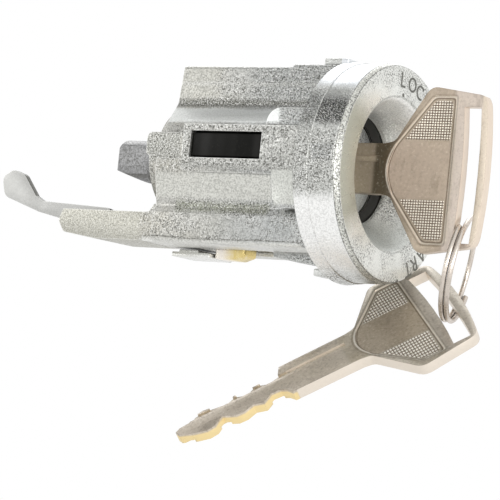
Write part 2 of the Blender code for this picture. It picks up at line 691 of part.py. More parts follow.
def lever_outline():
    """Side view of the lever: an eye, a straight arm and a rounded, raised toe."""
    eye = []
    for step in range(11):
        angle = math.radians(-75 + 165 * step / 10)
        eye.append((LEVER_PIVOT_X + LEVER_EYE_RADIUS * math.cos(angle),
                    LEVER_PIVOT_Z + LEVER_EYE_RADIUS * math.sin(angle)))
    arm = rounded(LEVER_ARM, steps=4)
    return eye + arm


def build_lever(material):
    near = LEVER_MIDDLE_Y - LEVER_THICKNESS / 2
    far = LEVER_MIDDLE_Y + LEVER_THICKNESS / 2
    lever = prism(lever_outline(), "Y", near, far)
    hole = prism(circle(LEVER_PIN_RADIUS + GAP, (LEVER_PIVOT_X, LEVER_PIVOT_Z), 24), "Y", near - 0.001, far + 0.001)
    cut(lever, hole)
    return finish(lever, "stop_lever", material, origin=(LEVER_PIVOT_X, LEVER_MIDDLE_Y, LEVER_PIVOT_Z))


def build_lever_pin(material):
    pin = prism(circle(LEVER_PIN_RADIUS, (LEVER_PIVOT_X, LEVER_PIVOT_Z), 24), "Y", LEVER_PIN_NEAR_Y, TONGUE_FAR_Y)
    return finish(pin, "lever_pin", material)


def build_pawl(material):
    """A block that stands out of the underside and can be pressed up into the case."""
    pawl = prism(rounded([
        (PAWL_BACK_X, PAWL_NEAR_Y, 0.0005), (PAWL_FRONT_X, PAWL_NEAR_Y, 0.0005),
        (PAWL_FRONT_X, PAWL_FAR_Y, 0.0005), (PAWL_BACK_X, PAWL_FAR_Y, 0.0005),
    ], steps=3), "Z", PAWL_LOW_Z, PAWL_TOP_Z)
    slope = prism([
        (PAWL_FRONT_X - 0.0022, PAWL_LOW_Z - 0.0001), (PAWL_FRONT_X + 0.0005, PAWL_LOW_Z + 0.0009),
        (PAWL_FRONT_X + 0.0005, PAWL_LOW_Z - 0.001),
    ], "Y", PAWL_NEAR_Y - 0.001, PAWL_FAR_Y + 0.001)
    cut(pawl, slope)
    return finish(pawl, "lock_pawl", material, origin=(PAWL_BACK_X, PAWL_NEAR_Y, PAWL_TOP_Z))


def build_bottom_plate(material):
    top = UNDERSIDE_Z - GAP
    low = PAWL_LOW_Z
    front = PAWL_BACK_X - GAP
    plate = prism([
        (PLATE_BACK_X, low), (front, low), (front, low + PLATE_THICKNESS),
        (CHANNEL_BACK_X - GAP, low + PLATE_THICKNESS), (CHANNEL_BACK_X - GAP, top),
        (PLATE_BACK_X + 0.0014, top), (PLATE_BACK_X + 0.0014, low + PLATE_THICKNESS),
        (PLATE_BACK_X, low + PLATE_THICKNESS),
    ], "Y", WEDGE_NEAR_Y, WEDGE_FAR_Y - 0.001)
    return finish(plate, "bottom_plate", material)


def key_outline():
    """Flat outline of a key with a cut blade and a wide, slightly bowed handle."""
    half = KEY_THICKNESS / 2
    bow_far = [
        (0, BOW_NECK_HALF_WIDTH, 0.0016), (BOW_SHOULDER, BOW_HALF_WIDTH, BOW_CORNER),
        (BOW_LENGTH, BOW_END_HALF_WIDTH, BOW_CORNER + half / 4),
    ]
    bow_near = [(u, -v, radius) for u, v, radius in reversed(bow_far)]
    end = [(u, v) for u, v in bowed(bow_far[-1][:2], bow_near[0][:2], -BOW_END_BULGE, steps=8)]
    neck = [(NECK_START, STEM_HALF_WIDTH), (NECK_START + 0.0012, STEM_HALF_WIDTH, 0.0012)]
    corners = neck + bow_far + end + bow_near
    corners += [(NECK_START + 0.0012, -STEM_HALF_WIDTH, 0.0012), (NECK_START, -STEM_HALF_WIDTH)]
    blade = [(u, v) for u, v in reversed(LOWER_CUTS)]
    blade += [(u, v) for u, v in reversed(UPPER_CUTS)]
    return rounded(corners + blade, steps=4)


def bow_slot_outline():
    side = bowed((BOW_SLOT_START, BOW_SLOT_LOW), (BOW_SLOT_START, BOW_SLOT_HIGH), BOW_SLOT_BULGE)
    far_side = bowed((BOW_SLOT_END, BOW_SLOT_HIGH), (BOW_SLOT_END, BOW_SLOT_LOW), -BOW_SLOT_BULGE)
    return [(BOW_SLOT_START, BOW_SLOT_LOW), *side, (BOW_SLOT_START, BOW_SLOT_HIGH),
            (BOW_SLOT_END, BOW_SLOT_HIGH), *far_side, (BOW_SLOT_END, BOW_SLOT_LOW)]


def panel_outline():
    """Recess on each face of the bow, from beside the neck to beside the slot."""
    high = PANEL_HALF_WIDTH
    return rounded([
        (0.0002, STEM_HALF_WIDTH, 0.0006), (BOW_SHOULDER + 0.0006, high, 0.0008), (PANEL_END, high, 0.0005),
        (PANEL_END, -high, 0.0005), (BOW_SHOULDER + 0.0006, -high, 0.0008), (0.0002, -STEM_HALF_WIDTH, 0.0006),
        (-0.0012, 0, 0.004),
    ], steps=3)


def key_solid(shift):
    """A key in the plane of X and Z, moved along X by shift."""
    half = KEY_THICKNESS / 2

    def moved(outline):
        return [(u + shift, v) for u, v in outline]

    key = prism(moved(key_outline()), "Y", -half, half)
    cut(key, prism(moved(bow_slot_outline()), "Y", -half - 0.001, half + 0.001))
    for side in (-1, 1):
        faces = sorted((side * (half - PANEL_DEPTH), side * (half + 0.001)))
        cut(key, prism(moved(panel_outline()), "Y", *faces))
        faces = sorted((side * (half - GROOVE_DEPTH), side * (half + 0.001)))
        middle = -side * GROOVE_MIDDLE
        cut(key, box(
            (UPPER_CUTS[-1][0] - 0.001 + shift, faces[0], middle - GROOVE_HALF_WIDTH),
            (NECK_START + 0.0004 + shift, faces[1], middle + GROOVE_HALF_WIDTH),
        ))
    return key


def build_keys(material, spare_material, plug_parent, spare_parent):
    key = key_solid(0)
    finish(key, "ignition_key", material, parent=plug_parent)
    spare = key_solid(-SPARE_RAIL)
    finish(spare, "spare_key", spare_material)
    spare.rotation_euler = SPARE_TILT
    spare.parent = spare_parent
    return key, spare


def build_ring(material, parent):
    """A sprung wire ring: two coils side by side, joined by a short slanted stretch."""
    shape = bmesh.new()
    turn = RING_TILT.to_matrix()
    sides = 8
    pitch = 2 * RING_WIRE_RADIUS + RING_COIL_GAP
    crossover = RING_START_DEGREES + 360 - RING_CROSSOVER_DEGREES
    rings = []
    for degrees in range(RING_START_DEGREES, RING_END_DEGREES + 1, 8):
        angle = math.radians(degrees)
        share = min(max((degrees - RING_CROSSOVER_DEGREES) / crossover, 0), 1)
        out = Vector((math.cos(angle), math.sin(angle), 0))
        middle = out * RING_RADIUS + Vector((0, 0, pitch * (share - 0.5)))
        ring = []
        for side in range(sides):
            around = 2 * math.pi * side / sides
            place = middle + out * RING_WIRE_RADIUS * math.cos(around)
            place.z += RING_WIRE_RADIUS * math.sin(around)
            ring.append(shape.verts.new(turn @ place + RING_CENTRE))
        rings.append(ring)
    for one, other in zip(rings, rings[1:]):
        for side in range(sides):
            after = (side + 1) % sides
            shape.faces.new((one[side], one[after], other[after], other[side]))
    shape.faces.new(rings[0])
    shape.faces.new(rings[-1])
    return finish(as_object(shape), "split_ring", material, origin=RING_HOOK, parent=parent, sharp=60)


def build():
    clear_scene()
    zinc = make_material("cast_zinc", (0.62, 0.61, 0.58), 0.42, 0.75)
    face = make_material("bezel_zinc", (0.68, 0.67, 0.62), 0.34, 0.8)
    plastic = make_material("black_plastic", (0.018, 0.017, 0.016), 0.45, 0.0)
    brass = make_material("brass", (0.70, 0.52, 0.22), 0.32, 0.9)
    gold = make_material("yellow_plating", (0.72, 0.58, 0.26), 0.30, 0.9)
    steel = make_material("spring_steel", (0.55, 0.55, 0.56), 0.28, 1.0)
    lever_steel = make_material("lever_steel", (0.70, 0.70, 0.68), 0.38, 0.85)
    dark_zinc = make_material("drive_metal", (0.36, 0.36, 0.36), 0.45, 0.8)
    key_metal = make_material("key_nickel", (0.52, 0.45, 0.36), 0.34, 0.85)
    spare_metal = make_material("spare_key_nickel", (0.42, 0.38, 0.29), 0.36, 0.85)
    ring_steel = make_material("ring_steel", (0.50, 0.49, 0.47), 0.25, 1.0)

    build_case(zinc)
    build_bezel(face)
    build_keyhole_ring(plastic)

    plug_axis = empty("plug_axis", (0, 0, 0))
    build_plug(zinc, plug_axis)
    for number, x in enumerate(wafer_places(), 1):
        build_wafer(number, x, brass, plug_axis)
    build_clip(steel, plug_axis)
    build_drive_tail(dark_zinc, plug_axis)

    build_slider(plastic)
    build_slider_spring(steel)
    build_lever(lever_steel)
    build_lever_pin(steel)
    build_pawl(gold)
    build_bottom_plate(zinc)

    spare_place = SPARE_NECK + SPARE_TILT.to_matrix() @ Vector((SPARE_RAIL, 0, 0))
    spare_hook = empty("spare_hook", spare_place, plug_axis)
    build_keys(key_metal, spare_metal, plug_axis, spare_hook)
    build_ring(ring_steel, plug_axis)


build()
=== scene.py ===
import math

import bpy
from mathutils import Euler, Matrix, Vector


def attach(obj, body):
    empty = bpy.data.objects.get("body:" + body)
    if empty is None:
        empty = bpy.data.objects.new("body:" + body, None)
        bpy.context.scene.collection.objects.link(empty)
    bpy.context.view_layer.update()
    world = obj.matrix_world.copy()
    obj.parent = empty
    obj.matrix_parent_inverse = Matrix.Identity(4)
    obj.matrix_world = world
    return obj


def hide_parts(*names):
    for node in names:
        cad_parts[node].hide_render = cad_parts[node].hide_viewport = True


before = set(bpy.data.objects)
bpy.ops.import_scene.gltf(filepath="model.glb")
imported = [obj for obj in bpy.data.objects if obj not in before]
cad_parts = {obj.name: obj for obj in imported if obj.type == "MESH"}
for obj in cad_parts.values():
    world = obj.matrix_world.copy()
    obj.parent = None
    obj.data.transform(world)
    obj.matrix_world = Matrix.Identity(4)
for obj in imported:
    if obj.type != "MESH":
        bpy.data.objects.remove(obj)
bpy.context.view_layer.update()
mm = 0.001

# the bezel sits a little below the plug's axis
bezelDrop = 0.83 * mm
# where the spare key's neck is, and how the key lies
spareNeck = (-3.138 * mm, 1.208 * mm, -28.455 * mm)
spareTilt = tuple(math.radians(turn) for turn in (-54.88, -31.983, 34.047))


# small helpers

def deselectAll():
    if bpy.context.object and bpy.context.object.mode != "OBJECT":
        bpy.ops.object.mode_set(mode="OBJECT")
    bpy.ops.object.select_all(action="DESELECT")


def selectOnly(piece):
    deselectAll()
    piece.select_set(True)
    bpy.context.view_layer.objects.active = piece


def dress(piece, body, material):
    piece.data.materials.clear()
    piece.data.materials.append(material)
    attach(piece, body)
    return piece


def addNode(tree, kind, inputs=None, **settings):
    node = tree.nodes.new(kind)
    for key, value in settings.items():
        setattr(node, key, value)
    for key, value in (inputs or {}).items():
        if isinstance(value, bpy.types.NodeSocket):
            tree.links.new(value, node.inputs[key])
        else:
            node.inputs[key].default_value = value
    return node


def maths(tree, operation, first, second=0.0, third=0.0, clamp=False):
    values = {0: first, 1: second, 2: third}
    return addNode(tree, "ShaderNodeMath", values, operation=operation, use_clamp=clamp).outputs[0]


def ramp(tree, value, low, high, fromValue=0.0, toValue=1.0):
    node = addNode(tree, "ShaderNodeMapRange", {
        "Value": value, "From Min": low, "From Max": high, "To Min": fromValue, "To Max": toValue,
    }, interpolation_type="SMOOTHSTEP")
    return node.outputs["Result"]


def mixColour(tree, share, first, second):
    node = addNode(tree, "ShaderNodeMix", {"Factor": share}, data_type="RGBA")
    for key, value in ((6, first), (7, second)):
        if isinstance(value, bpy.types.NodeSocket):
            tree.links.new(value, node.inputs[key])
        else:
            node.inputs[key].default_value = (*value, 1)
    return node.outputs[2]


def noise(tree, place, scale, detail, roughness=0.55):
    node = addNode(tree, "ShaderNodeTexNoise", {
        "Vector": place, "Scale": scale, "Detail": detail, "Roughness": roughness,
    })
    return node.outputs["Fac"]


def startMaterial(name, metallic, specular=0.5):
    material = bpy.data.materials.new(name)
    material.use_nodes = True
    tree = material.node_tree
    shader = tree.nodes["Principled BSDF"]
    shader.inputs["Metallic"].default_value = metallic
    shader.inputs["Specular IOR Level"].default_value = specular
    place = addNode(tree, "ShaderNodeTexCoord").outputs["Object"]
    return material, tree, shader, place


# materials

def times(tree, first, *others):
    for other in others:
        first = maths(tree, "MULTIPLY", first, other)
    return first


def between(tree, value, rise, fall):
    # 1 between two soft borders
    return times(tree, ramp(tree, value, *rise), ramp(tree, value, *fall))


def occlusion(tree, reach, inside=False):
    node = addNode(tree, "ShaderNodeAmbientOcclusion", {"Distance": reach}, samples=6, inside=inside)
    return node.outputs["AO"]


def surfaceNormal(tree):
    return addNode(tree, "ShaderNodeTexCoord").outputs["Normal"]


def finishShader(tree, shader, colour, rough, height, look):
    tree.links.new(colour, shader.inputs["Base Color"])
    tree.links.new(rough, shader.inputs["Roughness"])
    bump = addNode(tree, "ShaderNodeBump", {
        "Height": height, "Strength": look["bump"], "Distance": look["bumpDepth"]})
    tree.links.new(bump.outputs["Normal"], shader.inputs["Normal"])


def softBox(tree, sides, zone):
    # 1 inside a box of X and Z in mm, with a soft border
    *box, soft = zone
    inside = []
    for axis, (low, high) in zip("XZ", box):
        rise = ((low - soft) * mm, (low + soft) * mm)
        fall = ((high + soft) * mm, (high - soft) * mm)
        inside.append(between(tree, sides.outputs[axis], rise, fall))
    return times(tree, *inside)


def softBand(tree, along, away, angle, band, soft):
    # 1 inside a span of X and of radius, both in mm, and of angle in degrees
    spans, (start, full, fall, end) = band[:2], [math.radians(turn) for turn in band[2]]
    inside = between(tree, angle, (start, full), (end, fall))
    for value, (low, high), border in zip((along, away), spans, soft):
        rise = (low * mm, (low + border) * mm)
        inside = times(tree, inside, between(tree, value, rise, ((high + border) * mm, high * mm)))
    return inside


def castMetal(name, look):
    # blasted casting: clouds of tone, pale and dark grains, painted shade in the corners, worn edges with a
    # painted highlight, and zones and bands of other tone, among them painted highlight, shade and reflection
    material, tree, shader, place = startMaterial(name, look["metallic"])
    cloud = ramp(tree, noise(tree, place, look["cloudScale"], detail=4), *look["cloudRange"])
    patchy = noise(tree, place, look["patchScale"], detail=3)
    patchy = ramp(tree, patchy, *look["patchRange"], look["patchLow"], 1)
    grain = noise(tree, place, look["grainScale"], detail=2, roughness=0.7)
    fine = noise(tree, place, look["grainScale"] * look["finer"], detail=1)
    sides = addNode(tree, "ShaderNodeSeparateXYZ", {"Vector": place})
    along = ramp(tree, sides.outputs["X"], look["fadeFrom"], look["fadeTo"])
    nearColour = mixColour(tree, cloud, look["warm"], look["cool"])
    farColour = mixColour(tree, cloud, look["far"], look["farther"])
    colour = mixColour(tree, along, nearColour, farColour)

    # the borders of zones and bands wander along streaks
    streaky = addNode(tree, "ShaderNodeMapping", {"Vector": place, "Scale": look["wobbleStretch"]}).outputs[0]
    wobble = noise(tree, streaky, look["wobbleScale"], detail=3)
    wobble = maths(tree, "MULTIPLY_ADD", wobble, look["zoneWobble"], -0.5 * look["zoneWobble"])
    shift = addNode(tree, "ShaderNodeCombineXYZ", {"X": wobble, "Z": wobble}).outputs[0]
    moved = addNode(tree, "ShaderNodeVectorMath", {0: place, 1: shift}).outputs[0]
    moved = addNode(tree, "ShaderNodeSeparateXYZ", {"Vector": moved})
    # the angle and the radius round the bezel's axis, 0 degrees straight towards the window side
    side = maths(tree, "MULTIPLY", sides.outputs["Y"], -1.0)
    rise = maths(tree, "ADD", sides.outputs["Z"], bezelDrop)
    angle = maths(tree, "MULTIPLY_ADD", wobble, look["angleWobble"], maths(tree, "ARCTAN2", rise, side))
    away = addNode(tree, "ShaderNodeCombineXYZ", {"X": side, "Y": rise}).outputs[0]
    away = addNode(tree, "ShaderNodeVectorMath", {0: away}, operation="LENGTH").outputs["Value"]
    # zones and bands of other tone and grain, among them painted highlight, painted shade and painted
    # reflection
    places = []
    for zone, tone, strength in look["zones"]:
        places.append((softBox(tree, moved, zone), tone, look["zoneShare"], strength))
    for *band, tone, share, strength in look["bands"]:
        inside = softBand(tree, sides.outputs["X"], away, angle, band, look["bandSoft"])
        places.append((inside, tone, share, strength))
    for inside, tone, share, strength in places:
        colour = mixColour(tree, times(tree, inside, share), colour, tone)
        gap = maths(tree, "SUBTRACT", strength, patchy)
        patchy = maths(tree, "MULTIPLY_ADD", gap, inside, patchy)

    darkShare = times(tree, ramp(tree, grain, *look["grainRange"], 0, look["darkShare"]), patchy)
    colour = mixColour(tree, darkShare, colour, look["dark"])
    paleShare = times(tree, ramp(tree, fine, *look["paleRange"], 0, look["paleShare"]), patchy)
    colour = mixColour(tree, paleShare, colour, look["pale"])
    # painted shade: corners and creases are darkened from the occlusion
    cornerShade = ramp(tree, occlusion(tree, look["cornerShadeReach"]), *look["cornerShadeRange"], 0, look["cornerShadeShare"])
    colour = mixColour(tree, cornerShade, colour, look["dark"])
    # worn edges with a painted highlight: convex edges are made pale from the inside occlusion
    wornAndHighlightedEdge = ramp(tree, occlusion(tree, look["rimReach"], True), *look["rimRange"], 0, look["rimShare"])
    colour = mixColour(tree, wornAndHighlightedEdge, colour, look["pale"])
    if look["wallShare"]:  # the cut edge of a pressed plate is darker than its faces
        facing = addNode(tree, "ShaderNodeSeparateXYZ", {"Vector": surfaceNormal(tree)}).outputs["Y"]
        wall = ramp(tree, maths(tree, "ABSOLUTE", facing), *look["wallRange"], 0, look["wallShare"])
        colour = mixColour(tree, wall, colour, look["dark"])
    rough = ramp(tree, grain, *look["roughRange"], look["roughHigh"], look["roughLow"])
    height = times(tree, maths(tree, "MULTIPLY_ADD", fine, look["fineBump"], grain), patchy)
    finishShader(tree, shader, colour, rough, height, look)
    return material


castLook = {
    "metallic": 0.75, "cloudScale": 160, "cloudRange": (0.35, 0.65), "fadeFrom": -36 * mm, "fadeTo": -14 * mm,
    "patchScale": 230, "patchRange": (0.36, 0.62), "patchLow": 0.4,
    "grainScale": 3500, "finer": 1.9, "grainRange": (0.6, 0.36), "paleRange": (0.5, 0.66),
    "warm": (0.50, 0.485, 0.43), "cool": (0.54, 0.535, 0.50),
    "far": (0.46, 0.475, 0.47), "farther": (0.52, 0.53, 0.52),
    "dark": (0.065, 0.065, 0.052), "darkShare": 0.95, "pale": (0.95, 0.95, 0.92), "paleShare": 0.8,
    "cornerShadeReach": 0.9 * mm, "cornerShadeRange": (0.85, 0.35), "cornerShadeShare": 0.85,
    "rimReach": 0.3 * mm, "rimRange": (0.8, 0.45), "rimShare": 0.8, "wallRange": (0.75, 0.4), "wallShare": 0,
    "roughRange": (0.3, 0.7), "roughLow": 0.3, "roughHigh": 0.55,
    "bump": 0.6, "bumpDepth": 0.12 * mm, "fineBump": 0.5,
    "wobbleScale": 420, "wobbleStretch": (0.25, 1, 1), "zoneWobble": 0.9 * mm, "angleWobble": 60,
    "zoneShare": 0.9, "bandSoft": (0.1, 0.3),  # the bands' borders along X and outwards, in mm
    "zones": (  # (X from and to, Z from and to, soft border) in mm, tone, grain strength
        (((-45, -31), (10.2, 17), 1.2), (0.50, 0.495, 0.45), 0.35),
        (((-24, -8), (9.5, 17), 2.5), (0.40, 0.41, 0.40), 1.0),
        (((-39, -8), (12.2, 12.6), 0.5), (0.58, 0.58, 0.55), 0.6),
        # painted shade in the hollow under the top web
        (((-40, -8), (8.6, 9.8), 0.45), (0.13, 0.13, 0.11), 1.0),
        # painted highlight on the rounded band below it
        (((-39, -15), (5.4, 8.2), 0.4), (0.88, 0.90, 0.88), 0.15),
        (((-33, -9), (4.9, 5.1), 0.14), (0.16, 0.17, 0.16), 0.5),
        (((-33.5, -30), (-5.0, -4.3), 0.5), (0.46, 0.44, 0.38), 0.6),
        (((-40.5, -9), (-14.6, -13.9), 0.3), (0.80, 0.80, 0.76), 0.3),
        (((-40.5, -9), (-13.75, -13.6), 0.12), (0.10, 0.10, 0.08), 0.8),
        (((-33, -8), (-2.4, 4.9), 0.3), (0.50, 0.50, 0.47), 1.0),
        (((-42, -33.5), (-1, 3.5), 0.4), (0.46, 0.46, 0.42), 1.0),
        (((-39, -15.5), (-7.2, -3.0), 0.5), (0.70, 0.70, 0.65), 0.4),
        (((-15.2, -8), (-7.8, -2.2), 0.3), (0.74, 0.75, 0.70), 0.35),
        (((-34, -16), (-9.4, -7.6), 0.5), (0.28, 0.29, 0.22), 1.0),
        (((-60, -41), (-16, -9), 0.5), (0.53, 0.52, 0.455), 0.35),
    ),
    "bands": (),
}
bezelLook = dict(
    castLook, grainScale=3400, cloudScale=190, fadeFrom=-1.2 * mm, fadeTo=-1.1 * mm, zones=(),
    warm=(0.60, 0.61, 0.58), cool=(0.70, 0.71, 0.69), far=(0.86, 0.87, 0.83), farther=(0.92, 0.93, 0.89),
    darkShare=0.95, patchLow=0.2, roughLow=0.26, roughHigh=0.46,
    cornerShadeReach=0.35 * mm, cornerShadeShare=0.7, rimShare=0,
    # the bands paint reflections, highlights and shade round the bezel by angle, and dark lines at its steps
    # and at the dish's rim
    bands=(  # spans of X and of radius in mm, four angles in degrees, tone, share, grain strength
        # painted highlight, pale and bluish, over the top of the bezel's side
        ((-9, -1.0), (14, 20), (38, 47, 120, 140), (0.84, 0.87, 0.90), 0.9, 0.2),
        ((-9, -5.6), (14, 20), (10, 20, 32, 40), (0.26, 0.27, 0.26), 0.85, 1.0),
        # painted reflection: a near-black patch on the upper side, between the step and the chamfer
        ((-5.5, -1.0), (14, 20), (16, 21, 30, 38), (0.018, 0.021, 0.02), 0.95, 1.0),
        ((-9, -1.0), (14, 20), (-22, -10, 8, 18), (0.50, 0.505, 0.48), 0.85, 1.0),
        ((-5.2, -1.6), (14, 20), (-2, 0, 6, 8), (0.30, 0.31, 0.31), 0.6, 1.0),
        # painted reflection: a white band low on the side
        ((-9, -1.0), (14, 20), (-75, -58, -24, -14), (1.0, 1.0, 0.985), 0.95, 0.25),
        ((-1.0, -0.15), (14, 20), (-100, -80, 60, 80), (0.66, 0.66, 0.60), 0.8, 0.9),
        ((-0.1, 0.2), (12.4, 20), (-46, -28, 26, 50), (0.40, 0.41, 0.345), 0.9, 0.0),
        # painted light on the upper wall of the dish
        ((-7, -0.3), (5, 12.3), (0, 30, 150, 180), (1.0, 0.99, 0.96), 0.95, 0.3),
        ((-0.5, 0.2), (12.3, 12.5), (-190, -185, 185, 190), (0.16, 0.16, 0.14), 0.5, 0.6),
        ((-7, -0.3), (5, 12.3), (-150, -120, -20, 0), (0.66, 0.68, 0.65), 0.9, 0.3),
        ((-0.24, -0.14), (14, 20), (-190, -185, 185, 190), (0.06, 0.06, 0.055), 0.75, 0.8),
        ((-1.08, -0.98), (14, 20), (-190, -185, 185, 190), (0.06, 0.06, 0.055), 0.75, 0.8),
        ((-5.58, -5.5), (14, 20), (-190, -185, 185, 190), (0.12, 0.12, 0.11), 0.3, 0.5),
    ),
)
plateLook = dict(
    castLook, warm=(0.74, 0.74, 0.70), cool=(0.84, 0.84, 0.81),
    far=(0.74, 0.74, 0.70), farther=(0.84, 0.84, 0.81),
    zones=(), darkShare=0.25, roughLow=0.2, roughHigh=0.3, cornerShadeShare=0.5, bump=0.2,
)
leverLook = dict(
    castLook, metallic=0.6, warm=(0.50, 0.50, 0.48), cool=(0.56, 0.56, 0.54), far=(0.50, 0.50, 0.48),
    farther=(0.56, 0.56, 0.54), darkShare=0.08, paleShare=0.12, roughLow=0.34, roughHigh=0.42, bump=0.1,
    cornerShadeShare=0.4, zones=(), wallShare=0.85,
)
driveLook = dict(
    castLook, metallic=0.6, warm=(0.30, 0.30, 0.30), cool=(0.26, 0.26, 0.27), far=(0.30, 0.30, 0.30),
    farther=(0.34, 0.34, 0.34), pale=(0.62, 0.62, 0.62), darkShare=0.5, paleShare=0.3, bump=0.3, zones=(),
)


def plasticBlack(name, look):
    # moulded plastic with painted highlight bands across it and pale specks
    material, tree, shader, place = startMaterial(name, 0.0, look["specular"])
    sides = addNode(tree, "ShaderNodeSeparateXYZ", {"Vector": place})
    lengthways = addNode(tree, "ShaderNodeCombineXYZ", {"X": sides.outputs["X"]}).outputs[0]
    band = noise(tree, lengthways, look["bandScale"], detail=1)
    speck = noise(tree, place, look["speckScale"], detail=2)
    # painted highlight bands along the piece
    highlightBandShare = ramp(tree, band, *look["bandRange"], 0, look["highlightBandShare"])
    colour = mixColour(tree, highlightBandShare, look["colour"], look["pale"])
    speckShare = ramp(tree, speck, *look["speckRange"], 0, look["speckShare"])
    colour = mixColour(tree, speckShare, colour, look["pale"])
    rough = ramp(tree, speck, *look["roughRange"], look["roughLow"], look["roughHigh"])
    finishShader(tree, shader, colour, rough, speck, look)
    return material


def wireMetal(name, look):
    # bright drawn or stamped metal with faint streaks, spots of wear and painted shade in its creases
    material, tree, shader, place = startMaterial(name, look["metallic"])
    stretched = addNode(tree, "ShaderNodeMapping", {"Vector": place, "Scale": look["streak"]}).outputs[0]
    streak = noise(tree, stretched, look["streakScale"], detail=3)
    spot = noise(tree, place, look["spotScale"], detail=3)
    colour = mixColour(tree, ramp(tree, streak, *look["streakRange"]), look["colour"], look["other"])
    colour = mixColour(tree, ramp(tree, spot, *look["spotRange"], 0, look["wear"]), colour, look["worn"])
    if look["bareTo"]:  # the plating is rubbed off towards the back
        sides = addNode(tree, "ShaderNodeSeparateXYZ", {"Vector": place})
        bare = ramp(tree, sides.outputs["X"], look["bareTo"], look["bareFrom"])
        colour = mixColour(tree, bare, colour, look["worn"])
    # painted shade: creases are darkened from the occlusion
    creaseShade = ramp(tree, occlusion(tree, look["creaseReach"]), *look["creaseRange"], 0, look["creaseShare"])
    colour = mixColour(tree, creaseShade, colour, look["creaseShade"])
    rough = ramp(tree, spot, *look["roughRange"], look["roughLow"], look["roughHigh"])
    finishShader(tree, shader, colour, rough, streak, look)
    return material


bowPanel = {  # in mm from the key's neck, along the key or across it
    "half": 11.8, "end": 10.4, "start": -1.2, "curve": 0.083, "curveHalf": 4.1, "slope": 0.8, "lean": 0.78,
    "endBlend": 0.6, "sideBlend": 0.9,
    "edge": (-0.05, 0.05), "panelHighlightLine": ((-0.12, -0.02), (0.18, 0.1)), "panelHighlightShare": 0.6,
    "groove": ((0.15, 0.22), (0.45, 0.35)), "outerGrooveShade": ((-0.42, -0.32), (-0.1, -0.2)),
    "outerShare": 0.5, "grooveShare": 0.65,
    "studsFrom": (4.75, 4.9), "studsIn": (0.6, 0.7), "stud": (-0.95, 0.1), "middle": (5.2, 4.2),
}
keyLength = {  # in mm along the key, where each tone comes in
    "frame": (9.9, 10.6), "outer": (14.9, 15.4), "neck": (1.5, -1.4), "neckEnd": (-4.0, -3.0),
    "shank": (-3.2, -4.2), "shankShare": 0.85, "bow": (-13.2, -12.9), "blade": (-12.9, -13.2),
    "cutDepth": (-0.7 * mm, -0.3 * mm),
}


